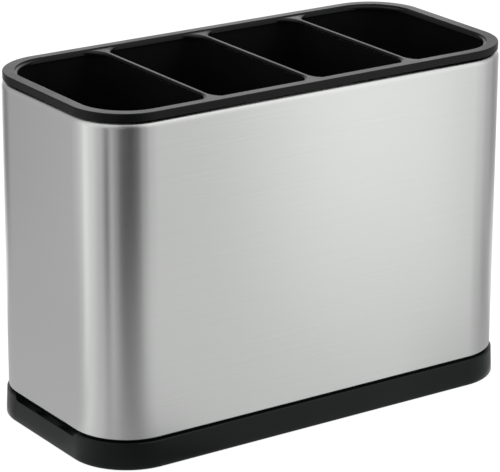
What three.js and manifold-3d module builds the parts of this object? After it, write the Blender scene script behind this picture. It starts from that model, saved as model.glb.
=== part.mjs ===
// Kitchen utensil holder: a brushed steel sleeve on a black base, with a lift-out liner of four
// pockets under a black rim frame. Millimetres, X along the length, Y towards the back, Z up,
// with the origin on the standing surface under the middle of the holder.

import * as THREE from 'three';
import { mergeVertices } from 'three/addons/utils/BufferGeometryUtils.js';
import Module from 'manifold-3d';

const wasm = await Module();
wasm.setup();

// Steel sleeve. Insets of all other pieces are counted inwards from its outer face.
const shellLength = 237.2;
const shellDepth = 111.9;
const shellHeight = 152.3;
const shellCorner = 28.2;
const sheet = 0.7;
const shoulderRadius = 2.8;
const shoulderLand = 0.4;
const hemRadius = 0.8;
const hemLand = 3.2;

// Base: a flared skirt, a ledge under the shadow gap, a step for the sleeve and a spigot inside it
const footProud = 0.5;
const skirtHeight = 12.7;
const skirtOutset = 1.4;
const ledgeOutset = 0.9;
const skirtWall = 2.2;
const skirtFootRadius = 0.8;
const skirtTopRadius = 0.7;
const shadowGap = 1.7;
const stepInset = 1.9;
const spigotHeight = 8.5;
const spigotLead = 0.8;
const spigotWall = 2.0;
const trayFloor = 2.0;
const trayFloorHeight = 3.5;
const trayFillet = 3.0;
const ledgeWall = 2.2;

// Finger notch in the left end of the base
const notchDrop = 1.7;
const notchScoop = 1.4;
const notchFloorHalf = 26.2;
const notchMouthHalf = 27.5;
const notchRelief = 0.4;
const notchCorner = 1.2;
const notchLip = 0.4;
const notchFaceOutset = 1.05;

// Ribs under the base
const ribThickness = 1.2;
const ribLift = 1.0;
const ribCount = 5;
const longRibOffset = 22.0;
const moatRibLift = 2.0;

// Rubber feet and their sockets
const footRadius = 8.0;
const footFromEnd = 24.5;
const footFromSide = 21.5;
const footChamfer = 0.4;
const socketWall = 1.8;
const socketLift = 0.8;

// Rim frame: the black top with its four pocket mouths
const rimInset = 0.4;
const rimHeight = 3.9;
const rimEdgeRadius = 0.4;
const rimFootChamfer = 0.3;
const rimSkirt = 1.3;
const mouthEndInset = 0.6;
const mouthCorner = 23.7;
const mouthRound = 0.3;
const lipHeight = 2.7;
const lipHeadHeight = 1.0;
const lipHeadReach = 0.4;
const lipReach = 0.7;

// Corners of the pockets in the frame, where a ledge slopes down from the mouth to the pocket
const pocketCorner = 27.4;
const ledgeFall = 0.6;
const flareRadius = 12.0;
const flareTopRadius = 9.0;

// Cross bars of the frame: a low lip on each side, undercut to a thinner web
const dividerPitch = 56.1;
const dividerWidth = 2.2;
const dividerDrop = 0.6;
const dividerLip = 1.1;
const dividerLipReach = 0.3;
const dividerChamfer = 0.2;
const dividerRelief = 0.4;

// Liner: four drafted pockets under the frame
const lipOverhang = 0.3;
const linerFlare = 8.0;
const linerWall = 1.5;
const linerFloor = 2.0;
const linerLift = 2.0;
const linerFillet = 3.0;
const pocketFillet = 4.0;
const flangeThickness = 1.4;
const linerDraft = THREE.MathUtils.degToRad(0.7);
const coreTip = 0.8;
const coreEndWall = 2.4;

// Drain holes, a quincunx in each pocket floor
const drainRadius = 2.5;
const drainStepX = 13.0;
const drainStepY = 25.0;

// Clearances
const seatGap = 0.3;
const slideGap = 0.3;
const footFit = 0.3;
const overrun = 1.0;

// Facets
const cornerSteps = 9;
const bendSteps = 5;
const smallSteps = 3;
const roundSteps = 24;
const drainSteps = 12;

// Heights worked out from the sizes above
const skirtBottomZ = footProud;
const ledgeZ = skirtBottomZ + skirtHeight;
const shellBottomZ = ledgeZ + shadowGap;
const shellTopZ = shellBottomZ + shellHeight;
const stepZ = shellBottomZ - seatGap;
const spigotTopZ = stepZ + spigotHeight;
const trayUnderZ = skirtBottomZ + trayFloorHeight;
const trayFloorZ = trayUnderZ + trayFloor;
const flangeBottomZ = shellTopZ + seatGap;
const flangeTopZ = flangeBottomZ + flangeThickness;
const plateUnderZ = flangeTopZ + seatGap;
const rimTopZ = plateUnderZ + lipHeight;
const rimBottomZ = rimTopZ - rimHeight;
const dividerTopZ = rimTopZ - dividerDrop;
const linerBottomZ = spigotTopZ + linerLift;
const pocketFloorZ = linerBottomZ + linerFloor;

// Insets worked out from the sizes above
const shoulderInset = shoulderRadius + shoulderLand;
const hemInset = hemRadius + hemLand;
const spigotInset = hemInset + slideGap;
const trayInset = spigotInset + spigotWall;
const moatInset = trayInset - skirtWall;
const linerInset = shoulderInset + slideGap;
const pocketInset = linerInset + linerWall;
const mouthInset = pocketInset + lipOverhang;
const flangeInset = rimInset + rimSkirt + slideGap;

// Points of a rectangle with its own radius at each corner, anticlockwise seen from above
function roundedOutline(box, radii, z) {
  const corners = [
    [box.right - radii[0], box.back - radii[0]],
    [box.left + radii[1], box.back - radii[1]],
    [box.left + radii[2], box.front + radii[2]],
    [box.right - radii[3], box.front + radii[3]],
  ];
  const points = [];
  corners.forEach(([x, y], corner) => {
    for (let step = 0; step <= cornerSteps; step += 1) {
      const angle = (Math.PI / 2) * (corner + step / cornerSteps);
      const radius = radii[corner];
      points.push([x + radius * Math.cos(angle), y + radius * Math.sin(angle), z]);
    }
  });
  return points;
}

// The sleeve's outline taken in by an inset, at a height
function insetOutline([inset, z]) {
  const halfLength = shellLength / 2 - inset;
  const halfDepth = shellDepth / 2 - inset;
  const box = { left: -halfLength, right: halfLength, front: -halfDepth, back: halfDepth };
  return roundedOutline(box, Array(4).fill(shellCorner - inset), z);
}

// Skin over a run of outlines: closed on itself as a ring, or capped at its first and last outline
function loft(outlines, isRing) {
  const count = outlines[0].length;
  const positions = outlines.flat(2);
  const indices = [];
  const spans = isRing ? outlines.length : outlines.length - 1;
  for (let level = 0; level < spans; level += 1) {
    const low = level * count;
    const high = ((level + 1) % outlines.length) * count;
    for (let point = 0; point < count; point += 1) {
      const next = (point + 1) % count;
      indices.push(low + point, low + next, high + next);
      indices.push(low + point, high + next, high + point);
    }
  }
  if (!isRing) {
    const last = (outlines.length - 1) * count;
    for (let point = 1; point < count - 1; point += 1) {
      indices.push(0, point + 1, point);
      indices.push(last, last + point, last + point + 1);
    }
  }
  const geometry = new THREE.BufferGeometry();
  geometry.setAttribute('position', new THREE.Float32BufferAttribute(positions, 3));
  geometry.setIndex(indices);
  return geometry;
}

// A plug is a solid stack of inset outlines, and a band is a closed section swept round them
const plug = (section) => solidOf(loft(section.map(insetOutline), false));
const band = (section) => solidOf(loft(section.map(insetOutline), true));

// Points of a quarter round about a centre, from one angle to another, as inset and height
function quarter([inset, z], radius, fromDegrees, toDegrees, steps) {
  const points = [];
  for (let step = 0; step <= steps; step += 1) {
    const angle = THREE.MathUtils.degToRad(fromDegrees + ((toDegrees - fromDegrees) * step) / steps);
    points.push([inset + radius * Math.cos(angle), z + radius * Math.sin(angle)]);
  }
  return points;
}

// Solid from a closed geometry, and geometry from a solid
function solidOf(geometry) {
  const bare = geometry.clone();
  bare.deleteAttribute('normal');
  bare.deleteAttribute('uv');
  const merged = mergeVertices(bare);
  return new wasm.Manifold(new wasm.Mesh({
    numProp: 3,
    vertProperties: new Float32Array(merged.attributes.position.array),
    triVerts: new Uint32Array(merged.index.array),
  }));
}

function geometryOf(solid) {
  const { vertProperties, triVerts } = solid.getMesh();
  const geometry = new THREE.BufferGeometry();
  geometry.setAttribute('position', new THREE.BufferAttribute(vertProperties, 3));
  geometry.setIndex(new THREE.BufferAttribute(triVerts, 1));
  geometry.computeVertexNormals();
  return geometry;
}

const join = (solids) => solids.reduce((whole, piece) => whole.add(piece));
const cut = (body, cutters) => cutters.reduce((rest, cutter) => rest.subtract(cutter), body);

// Block between two corners
function block([x0, y0, z0], [x1, y1, z1]) {
  const geometry = new THREE.BoxGeometry(x1 - x0, y1 - y0, z1 - z0);
  geometry.translate((x0 + x1) / 2, (y0 + y1) / 2, (z0 + z1) / 2);
  return solidOf(geometry);
}

// Upright round bar
function bar(x, y, radius, z0, z1, steps) {
  const geometry = new THREE.CylinderGeometry(radius, radius, z1 - z0, steps);
  geometry.rotateX(Math.PI / 2);
  geometry.translate(x, y, (z0 + z1) / 2);
  return solidOf(geometry);
}

// Sleeve: one sheet, turned in at the top as a shoulder and at the bottom as a hem
function makeShell() {
  const shoulderCentre = [shoulderRadius, shellTopZ - shoulderRadius];
  const hemCentre = [hemRadius, shellBottomZ + hemRadius];
  return band([
    [hemInset, shellBottomZ],
    ...quarter(hemCentre, hemRadius, 270, 180, smallSteps),
    ...quarter(shoulderCentre, shoulderRadius, 180, 90, bendSteps),
    [shoulderInset, shellTopZ],
    [shoulderInset, shellTopZ - sheet],
    ...quarter(shoulderCentre, shoulderRadius - sheet, 90, 180, bendSteps),
    ...quarter(hemCentre, hemRadius - sheet, 180, 270, smallSteps),
    [hemInset, shellBottomZ + sheet],
  ]);
}

// Outer form of the base, from its foot up to the spigot
function baseBody() {
  const footCentre = [skirtFootRadius - skirtOutset, skirtBottomZ + skirtFootRadius];
  const topCentre = [skirtTopRadius - ledgeOutset, ledgeZ - skirtTopRadius];
  return plug([
    ...quarter(footCentre, skirtFootRadius, 270, 180, smallSteps),
    ...quarter(topCentre, skirtTopRadius, 180, 90, smallSteps),
    [stepInset, ledgeZ],
    [stepInset, stepZ],
    [spigotInset, stepZ],
    [spigotInset, spigotTopZ - spigotLead],
    [spigotInset + spigotLead, spigotTopZ],
  ]);
}

// Drip tray inside the spigot, with a rounded edge to its floor
function trayHollow() {
  const filletCentre = [trayInset + trayFillet, trayFloorZ + trayFillet];
  return plug([
    ...quarter(filletCentre, trayFillet, 270, 180, smallSteps),
    [trayInset, spigotTopZ + overrun],
  ]);
}

// Hollow underneath: a shallow space below the tray floor and a deep moat behind the skirt
function undersideHollow() {
  const skirtInner = skirtWall - skirtOutset;
  const moatTopInner = skirtWall - ledgeOutset;
  const whole = plug([
    [skirtInner, skirtBottomZ - overrun],
    [moatTopInner, ledgeZ - ledgeWall],
  ]);
  const filletCentre = [moatInset + trayFillet, trayUnderZ + trayFillet];
  const trayWall = plug([
    ...quarter(filletCentre, trayFillet, 270, 180, smallSteps),
    [moatInset, ledgeZ],
  ]);
  return whole.subtract(trayWall);
}

// Ribs under the base, each crossing the tray floor and closing the moat at its two ends. The
// first and last cross rib pass through the feet.
function baseRibs() {
  const sideY = shellDepth / 2;
  const endX = shellLength / 2;
  const ribBottom = skirtBottomZ + ribLift;
  const moatBottom = skirtBottomZ + moatRibLift;
  const floorTop = trayUnderZ + trayFloor / 2;
  const ledgeTop = ledgeZ - ledgeWall / 2;
  const half = ribThickness / 2;
  const ribPitch = (shellLength - 2 * footFromEnd) / (ribCount - 1);
  const ribs = [];
  for (let index = 0; index < ribCount; index += 1) {
    const x = (index - (ribCount - 1) / 2) * ribPitch;
    ribs.push(block([x - half, -sideY, ribBottom], [x + half, sideY, floorTop]));
    for (const side of [-1, 1]) {
      const near = side * (sideY - moatInset - skirtWall / 2);
      const far = side * sideY;
      const [y0, y1] = [Math.min(near, far), Math.max(near, far)];
      ribs.push(block([x - half, y0, moatBottom], [x + half, y1, ledgeTop]));
    }
  }
  for (const y of [-longRibOffset, 0, longRibOffset]) {
    ribs.push(block([-endX, y - half, ribBottom], [endX, y + half, floorTop]));
    const near = endX - moatInset - skirtWall / 2;
    ribs.push(block([near, y - half, moatBottom], [endX, y + half, ledgeTop]));
  }
  return join(ribs);
}

// The notch's outline across one plane, its sloping ends kept in line as its floor sinks
function notchOutline([x, sink]) {
  const floorZ = ledgeZ - notchDrop - sink;
  const topZ = shellBottomZ + hemRadius;
  const slope = (notchMouthHalf - notchFloorHalf) / notchDrop;
  const floorHalf = notchFloorHalf - slope * sink;
  const topHalf = floorHalf + slope * (topZ - floorZ);
  const right = [
    [floorHalf - notchCorner, floorZ],
    [floorHalf - (notchCorner * (1 - slope)) / 4, floorZ + notchCorner / 4],
    [floorHalf + slope * notchCorner, floorZ + notchCorner],
    [topHalf, topZ],
  ];
  const left = right.map(([y, z]) => [-y, z]).reverse();
  return [...left, ...right].map(([y, z]) => [x, y, z]);
}

// Finger notch: a cut through the ledge and step, with a lip rounded over at the skirt's face and
// a floor that dips behind the lip into the moat
function notchCutter() {
  const faceX = -shellLength / 2 - notchFaceOutset;
  const innerX = spigotInset + notchRelief - shellLength / 2;
  const stations = [[faceX - skirtOutset - overrun, notchLip]];
  for (let step = smallSteps; step >= 0; step -= 1) {
    const angle = (Math.PI / 2) * (step / smallSteps);
    stations.push([faceX + notchLip * (1 - Math.sin(angle)), notchLip * (1 - Math.cos(angle))]);
  }
  stations.push([faceX + notchLip + notchScoop, notchScoop]);
  stations.push([innerX, notchScoop]);
  return solidOf(loft(stations.map(notchOutline), false));
}

// Centres of the four feet, with the word for each corner
const feet = [];
for (const [sideName, side] of [['front', -1], ['rear', 1]]) {
  for (const [endName, end] of [['left', -1], ['right', 1]]) {
    feet.push({
      name: `foot_${sideName}_${endName}`,
      x: end * (shellLength / 2 - footFromEnd),
      y: side * (shellDepth / 2 - footFromSide),
    });
  }
}

function makeBase() {
  const socketRadius = footRadius + footFit;
  const bossTop = trayUnderZ + trayFloor / 2;
  const bosses = feet.map(({ x, y }) =>
    bar(x, y, socketRadius + socketWall, skirtBottomZ + socketLift, bossTop, roundSteps));
  const sockets = feet.map(({ x, y }) =>
    bar(x, y, socketRadius, skirtBottomZ - overrun, trayUnderZ, roundSteps));
  const hollowed = cut(baseBody(), [trayHollow(), undersideHollow()]);
  const inside = hollowed.add(baseRibs().intersect(baseBody())).add(join(bosses));
  return cut(inside, [...sockets, trayHollow(), notchCutter()]);
}

// Foot: a round pad with a chamfered tread, its top just under the tray floor
function makeFoot({ x, y }) {
  const topZ = trayUnderZ - seatGap;
  const profile = [
    [0, 0],
    [footRadius - footChamfer, 0],
    [footRadius, footChamfer],
    [footRadius, topZ],
    [0, topZ],
  ].map(([radius, z]) => new THREE.Vector2(radius, z));
  const geometry = new THREE.LatheGeometry(profile, roundSteps);
  geometry.rotateX(Math.PI / 2);
  geometry.translate(x, y, 0);
  return solidOf(geometry);
}

// Sides and corner radii of a row of four pockets between the cross bars
const dividerX = [-dividerPitch, 0, dividerPitch];
const mouthHalfDepth = shellDepth / 2 - mouthInset;

function pocketRow(halfLength, endRadius, innerRadius) {
  return [0, 1, 2, 3].map((index) => {
    const isFirst = index === 0;
    const isLast = index === dividerX.length;
    const rightRadius = isLast ? endRadius : innerRadius;
    const leftRadius = isFirst ? endRadius : innerRadius;
    return {
      left: isFirst ? -halfLength : dividerX[index - 1] + dividerWidth / 2,
      right: isLast ? halfLength : dividerX[index] - dividerWidth / 2,
      radii: [rightRadius, leftRadius, leftRadius, rightRadius],
    };
  });
}

// One pocket's outline at a height, taken in on all sides by an inset
function pocketOutline(pocket, inset, z) {
  const box = {
    left: pocket.left + inset,
    right: pocket.right - inset,
    front: inset - mouthHalfDepth,
    back: mouthHalfDepth - inset,
  };
  return roundedOutline(box, pocket.radii.map((radius) => radius - inset), z);
}

// The frame's pockets below the ledge and at the mouth, and the liner's pockets
const mouthHalfLength = shellLength / 2 - mouthInset - mouthEndInset;
const lowPockets = pocketRow(mouthHalfLength, pocketCorner, flareRadius);
const highPockets = pocketRow(mouthHalfLength, mouthCorner, flareTopRadius);
const linerPockets = pocketRow(shellLength / 2 - mouthInset, shellCorner - mouthInset, linerFlare);

// The land's inner edge round all four pockets, taken in by an inset
function mouthOutline([inset, z]) {
  const halfLength = mouthHalfLength - inset;
  const halfDepth = mouthHalfDepth - inset;
  const box = { left: -halfLength, right: halfLength, front: -halfDepth, back: halfDepth };
  return roundedOutline(box, Array(4).fill(mouthCorner - inset), z);
}

// Inset of the outer lip at a height on its upper slope
const headReachAt = (z) => (lipHeadReach * (rimTopZ - mouthRound - z)) / lipHeadHeight;

// Opening inside the land, down to the cross bars: a rounded edge over the lip's upper slope
function mouthTop(bottomZ) {
  const edgeCentre = [-mouthRound, rimTopZ - mouthRound];
  return [
    [headReachAt(bottomZ), bottomZ],
    ...quarter(edgeCentre, mouthRound, 0, 90, smallSteps),
    [-mouthRound, rimTopZ + overrun],
  ];
}

const mouthPlug = (section) => solidOf(loft(section.map(mouthOutline), false));

// One pocket's opening through the frame below the cross bars' level
function pocketMouth(low, index) {
  const high = highPockets[index];
  const footZ = dividerTopZ - dividerLip;
  const outlines = [
    pocketOutline(low, -dividerRelief, plateUnderZ - overrun),
    pocketOutline(low, -dividerRelief, footZ - dividerRelief),
    pocketOutline(low, 0, footZ),
    pocketOutline(low, -dividerLipReach / 2, dividerTopZ - ledgeFall),
    pocketOutline(high, -dividerLipReach - dividerChamfer, dividerTopZ),
    pocketOutline(high, -dividerLipReach - dividerChamfer, dividerTopZ + dividerDrop / 2),
  ];
  return solidOf(loft(outlines, false));
}

// Rim frame: a flat land over a short skirt, lipped mouths, corner ledges and lower cross bars
function makeRimFrame() {
  const edgeCentre = [rimInset + rimEdgeRadius, rimTopZ - rimEdgeRadius];
  const body = plug([
    [rimInset + rimFootChamfer, rimBottomZ],
    [rimInset, rimBottomZ + rimFootChamfer],
    ...quarter(edgeCentre, rimEdgeRadius, 180, 90, smallSteps),
  ]);
  const channel = plug([
    [rimInset + rimSkirt, rimBottomZ - overrun],
    [rimInset + rimSkirt, plateUnderZ],
  ]);
  const headFootZ = rimTopZ - mouthRound - lipHeadHeight;
  const mouth = mouthPlug([
    [lipReach, plateUnderZ - overrun],
    [lipReach, plateUnderZ],
    ...mouthTop(headFootZ),
  ]);
  const recess = mouthPlug(mouthTop(dividerTopZ));
  const openings = join(lowPockets.map(pocketMouth)).intersect(mouth);
  return cut(body, [channel, recess, openings]);
}

// Draft of the liner's walls: how far a wall has come in at a height below the flange
const draftAt = (z) => Math.tan(linerDraft) * (flangeTopZ - z);

function linerBody() {
  const footInset = linerInset + draftAt(linerBottomZ + linerFillet);
  const filletCentre = [footInset + linerFillet, linerBottomZ + linerFillet];
  return plug([
    ...quarter(filletCentre, linerFillet, 270, 180, smallSteps),
    [linerInset + draftAt(flangeBottomZ), flangeBottomZ],
    [flangeInset, flangeBottomZ],
    [flangeInset, flangeTopZ],
  ]);
}

// Pocket hollow: a rounded floor edge, drafted walls, and a mouth a little wider than the lip above
function pocketHollow(pocket) {
  const floorInset = draftAt(pocketFloorZ + pocketFillet) - lipOverhang;
  const filletCentre = [floorInset + pocketFillet, pocketFloorZ + pocketFillet];
  const section = [
    ...quarter(filletCentre, pocketFillet, 270, 180, smallSteps),
    [-lipOverhang, flangeTopZ],
    [-lipOverhang, flangeTopZ + overrun],
  ];
  return solidOf(loft(section.map(([inset, z]) => pocketOutline(pocket, inset, z)), false));
}

// Coring of a divider from below: a tapered slot between two pocket walls of even thickness
function dividerCore(x) {
  const slotHalf = (z) => dividerWidth / 2 - lipOverhang + draftAt(z) - linerWall;
  const tipHalf = coreTip / 2;
  const tipDraft = tipHalf + linerWall + lipOverhang - dividerWidth / 2;
  const tipZ = flangeTopZ - tipDraft / Math.tan(linerDraft);
  const lowZ = linerBottomZ - overrun;
  const halfDepth = mouthHalfDepth - draftAt(linerBottomZ) - coreEndWall;
  const outlines = [[slotHalf(lowZ), lowZ], [tipHalf, tipZ]].map(([half, z]) => [
    [x + half, halfDepth, z],
    [x - half, halfDepth, z],
    [x - half, -halfDepth, z],
    [x + half, -halfDepth, z],
  ]);
  return solidOf(loft(outlines, false));
}

function pocketDrains({ left, right }) {
  const middle = (left + right) / 2;
  const stepShares = [[0, 0], [-1, -1], [-1, 1], [1, -1], [1, 1]];
  return stepShares.map(([shareX, shareY]) => bar(
    middle + shareX * drainStepX,
    shareY * drainStepY,
    drainRadius,
    linerBottomZ - overrun,
    pocketFloorZ + overrun,
    drainSteps,
  ));
}

function makeLiner() {
  return cut(linerBody(), [
    ...linerPockets.map(pocketHollow),
    ...dividerX.map(dividerCore),
    ...linerPockets.flatMap(pocketDrains),
  ]);
}

// Materials
const brushedSteel = new THREE.MeshStandardMaterial({ color: 0xc9cac8, roughness: 0.34, metalness: 1.0 });
const satinBlack = new THREE.MeshStandardMaterial({ color: 0x2b2c2d, roughness: 0.5, metalness: 0.0 });
const linerBlack = new THREE.MeshStandardMaterial({ color: 0x0c0c0d, roughness: 0.55, metalness: 0.0 });
const baseBlack = new THREE.MeshStandardMaterial({ color: 0x222423, roughness: 0.45, metalness: 0.0 });
const footRubber = new THREE.MeshStandardMaterial({ color: 0x18181a, roughness: 0.85, metalness: 0.0 });

const holder = new THREE.Group();

function addPiece(name, solid, material) {
  const mesh = new THREE.Mesh(geometryOf(solid), material);
  mesh.name = name;
  holder.add(mesh);
}

addPiece('base', makeBase(), baseBlack);
feet.forEach((foot) => addPiece(foot.name, makeFoot(foot), footRubber));
addPiece('shell', makeShell(), brushedSteel);
addPiece('liner', makeLiner(), linerBlack);
addPiece('rim_frame', makeRimFrame(), satinBlack);

export default holder;
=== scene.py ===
import math

import bmesh
import bpy
from mathutils import Matrix, Vector


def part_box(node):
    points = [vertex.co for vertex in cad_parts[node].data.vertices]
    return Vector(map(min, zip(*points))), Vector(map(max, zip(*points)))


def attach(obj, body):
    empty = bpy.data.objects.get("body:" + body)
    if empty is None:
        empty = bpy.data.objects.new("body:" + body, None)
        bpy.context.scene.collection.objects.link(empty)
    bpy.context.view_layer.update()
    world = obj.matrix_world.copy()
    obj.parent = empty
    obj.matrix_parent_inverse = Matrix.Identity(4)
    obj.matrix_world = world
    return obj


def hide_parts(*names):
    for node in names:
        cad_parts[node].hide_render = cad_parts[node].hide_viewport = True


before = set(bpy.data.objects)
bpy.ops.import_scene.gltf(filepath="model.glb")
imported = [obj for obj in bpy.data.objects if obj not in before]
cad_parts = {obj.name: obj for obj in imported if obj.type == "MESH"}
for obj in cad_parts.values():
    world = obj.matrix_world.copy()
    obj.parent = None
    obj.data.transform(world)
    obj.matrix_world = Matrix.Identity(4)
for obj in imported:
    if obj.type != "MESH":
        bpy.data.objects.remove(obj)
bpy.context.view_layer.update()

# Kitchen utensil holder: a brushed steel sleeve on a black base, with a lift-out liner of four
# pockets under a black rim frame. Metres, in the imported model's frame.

# Camera, from the perspective of the photograph
IMAGE_WIDTH = 500
IMAGE_HEIGHT = 472
SENSOR_WIDTH = 36.0
CAMERA_AZIMUTH = math.radians(-34.408)
CAMERA_ELEVATION = math.radians(19.07)
CAMERA_ROLL = math.radians(0.269)
CAMERA_DISTANCE = 1.387
CAMERA_TARGET = Vector((0.0, 0.0, 0.079))
FOCAL_PIXELS = 2847.8
OPTICAL_CENTRE_X = 254.16
OPTICAL_CENTRE_Y = 237.60

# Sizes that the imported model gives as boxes
SHELL_LOW, SHELL_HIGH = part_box("shell")
BASE_LOW, BASE_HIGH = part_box("base")
LINER_LOW, LINER_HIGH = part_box("liner")
RIM_LOW, RIM_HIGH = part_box("rim_frame")

HALF_LENGTH = SHELL_HIGH.x
HALF_DEPTH = SHELL_HIGH.y
SHELL_BOTTOM = SHELL_LOW.z
SHELL_TOP = SHELL_HIGH.z
SKIRT_BOTTOM = BASE_LOW.z
SPIGOT_TOP = BASE_HIGH.z
SKIRT_OUTSET = BASE_HIGH.x - SHELL_HIGH.x
LINER_BOTTOM = LINER_LOW.z
FLANGE_TOP = LINER_HIGH.z
FLANGE_INSET = SHELL_HIGH.x - LINER_HIGH.x
RIM_INSET = SHELL_HIGH.x - RIM_HIGH.x
RIM_BOTTOM = RIM_LOW.z
RIM_SINK = 0.0002
RIM_TOP = RIM_HIGH.z - RIM_SINK

# Steel sleeve
SHELL_CORNER = 0.0282
SHEET = 0.0007
SHOULDER_RADIUS = 0.0028
SHOULDER_LAND = 0.0004
HEM_RADIUS = 0.0008
HEM_LAND = 0.0032
FOLD_EDGE = 0.0001

# Base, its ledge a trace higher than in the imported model, as the photograph's shadow gap shows
SKIRT_HEIGHT = 0.0133
LEDGE_OUTSET = 0.0009
SKIRT_WALL = 0.0022
SKIRT_FOOT_RADIUS = 0.0008
SKIRT_TOP_RADIUS = 0.0008
STEP_INSET = 0.0019
STEP_DROP = 0.0003
SPIGOT_LEAD = 0.0008
SPIGOT_WALL = 0.0020
TRAY_FLOOR = 0.0020
TRAY_UNDER_LIFT = 0.0035
TRAY_FILLET = 0.0030
LEDGE_WALL = 0.0028
NOTCH_DROP = 0.0023
NOTCH_SCOOP = 0.0014
NOTCH_FLOOR_HALF = 0.0262
NOTCH_MOUTH_HALF = 0.0280
NOTCH_RELIEF = 0.0004
NOTCH_CORNER = 0.0012
NOTCH_LIP = 0.0004
NOTCH_FACE = 0.00105
RIB_THICKNESS = 0.0012
RIB_LIFT = 0.0010
RIB_COUNT = 5
LONG_RIB_OFFSET = 0.0220
MOAT_RIB_LIFT = 0.0020
SOCKET_WALL = 0.0018
SOCKET_LIFT = 0.0008
FOOT_FIT = 0.0003

# Rubber feet
FOOT_NAMES = ("foot_front_left", "foot_front_right", "foot_rear_left", "foot_rear_right")
FOOT_EDGE = 0.0004
GROOVE_RADIUS = 0.0052
GROOVE_WIDTH = 0.0010
GROOVE_DEPTH = 0.0003

# Rim frame
RIM_EDGE_RADIUS = 0.0005
RIM_FOOT_RADIUS = 0.0003
RIM_SKIRT = 0.0013
LIP_HEIGHT = 0.0025
LIP_HEAD = 0.0010
LIP_HEAD_REACH = 0.0004
LIP_REACH = 0.0007
MOUTH_ROUND = 0.0003
MOUTH_END_INSET = 0.0006
MOUTH_CORNER = 0.0237
POCKET_CORNER = 0.0274
LEDGE_FALL = 0.0006
LEDGE_SHARP_DEGREES = 18.0
FLARE_RADIUS = 0.0120
FLARE_TOP_RADIUS = 0.0090

# Cross bars of the rim frame, measured at the foot of their lips
DIVIDER_PITCH = 0.0561
DIVIDER_WIDTH = 0.0022
DIVIDER_DROP = 0.0006
DIVIDER_ROUND = 0.0002
DIVIDER_LIP = 0.0011
DIVIDER_LIP_REACH = 0.0003
DIVIDER_RELIEF = 0.0003

# Liner
LIP_OVERHANG = 0.0003
LINER_FLARE = 0.0080
LINER_WALL = 0.0015
LINER_FLOOR = 0.0020
LINER_FILLET = 0.0030
POCKET_FILLET = 0.0040
FLANGE_THICKNESS = 0.0014
LINER_DRAFT = math.tan(math.radians(0.7))
CORE_TIP = 0.0008
CORE_END_WALL = 0.0024
DRAIN_RADIUS = 0.0025
DRAIN_STEP_X = 0.0130
DRAIN_STEP_Y = 0.0250
SLIDE_GAP = 0.0003

OVERRUN = 0.0010
HAIR = 0.00001

# Facets and edges
CORNER_STEPS = 36
BEND_STEPS = 12
SMALL_STEPS = 6
ROUND_STEPS = 64
DRAIN_STEPS = 32
SHARP_DEGREES = 38.0
NORMAL_WEIGHT = 100
MERGE_DISTANCE = HAIR / 4

# Heights and insets worked out from the sizes above
LEDGE = SKIRT_BOTTOM + SKIRT_HEIGHT
STEP = SHELL_BOTTOM - STEP_DROP
TRAY_UNDER = SKIRT_BOTTOM + TRAY_UNDER_LIFT
TRAY_TOP = TRAY_UNDER + TRAY_FLOOR
HEM_INSET = HEM_RADIUS + HEM_LAND
SPIGOT_INSET = HEM_INSET + SLIDE_GAP
TRAY_INSET = SPIGOT_INSET + SPIGOT_WALL
MOAT_INSET = TRAY_INSET - SKIRT_WALL
SHOULDER_INSET = SHOULDER_RADIUS + SHOULDER_LAND
LINER_INSET = SHOULDER_INSET + SLIDE_GAP
POCKET_INSET = LINER_INSET + LINER_WALL
MOUTH_INSET = POCKET_INSET + LIP_OVERHANG
PLATE_UNDER = RIM_TOP - LIP_HEIGHT
DIVIDER_TOP = RIM_TOP - DIVIDER_DROP
FLANGE_BOTTOM = FLANGE_TOP - FLANGE_THICKNESS
POCKET_FLOOR = LINER_BOTTOM + LINER_FLOOR
DIVIDER_PLACES = (-DIVIDER_PITCH, 0.0, DIVIDER_PITCH)


def make_camera():
    """The camera at the photograph's angle, with the shift that its framing needs."""
    azimuth, elevation = CAMERA_AZIMUTH, CAMERA_ELEVATION
    back = Vector((
        math.sin(azimuth) * math.cos(elevation),
        -math.cos(azimuth) * math.cos(elevation),
        math.sin(elevation),
    ))
    level_right = (-back).cross(Vector((0.0, 0.0, 1.0))).normalized()
    level_up = level_right.cross(-back)
    right = level_right * math.cos(CAMERA_ROLL) + level_up * math.sin(CAMERA_ROLL)
    up = level_up * math.cos(CAMERA_ROLL) - level_right * math.sin(CAMERA_ROLL)
    data = bpy.data.cameras.new("camera")
    data.sensor_width = SENSOR_WIDTH
    data.lens = FOCAL_PIXELS / IMAGE_WIDTH * SENSOR_WIDTH
    data.shift_x = (IMAGE_WIDTH / 2 - OPTICAL_CENTRE_X) / IMAGE_WIDTH
    data.shift_y = (OPTICAL_CENTRE_Y - IMAGE_HEIGHT / 2) / IMAGE_WIDTH
    camera = bpy.data.objects.new("camera", data)
    turn = Matrix((right, up, back)).transposed().to_4x4()
    camera.matrix_world = Matrix.Translation(CAMERA_TARGET + back * CAMERA_DISTANCE) @ turn
    bpy.context.scene.collection.objects.link(camera)
    bpy.context.scene.camera = camera


# Outlines and lofts


def rounded_outline(left, right, front, back, radii, z, steps=CORNER_STEPS):
    """Points of a rectangle with its own radius at each corner, anticlockwise seen from above."""
    corners = (
        (right - radii[0], back - radii[0]),
        (left + radii[1], back - radii[1]),
        (left + radii[2], front + radii[2]),
        (right - radii[3], front + radii[3]),
    )
    points = []
    for corner, (x, y) in enumerate(corners):
        for step in range(steps + 1):
            angle = math.pi / 2 * (corner + step / steps)
            radius = radii[corner]
            points.append((x + radius * math.cos(angle), y + radius * math.sin(angle), z))
    return points


def inset_outline(inset, z):
    """The sleeve's outline taken in by an inset, at a height."""
    x, y = HALF_LENGTH - inset, HALF_DEPTH - inset
    return rounded_outline(-x, x, -y, y, [SHELL_CORNER - inset] * 4, z)


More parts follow.
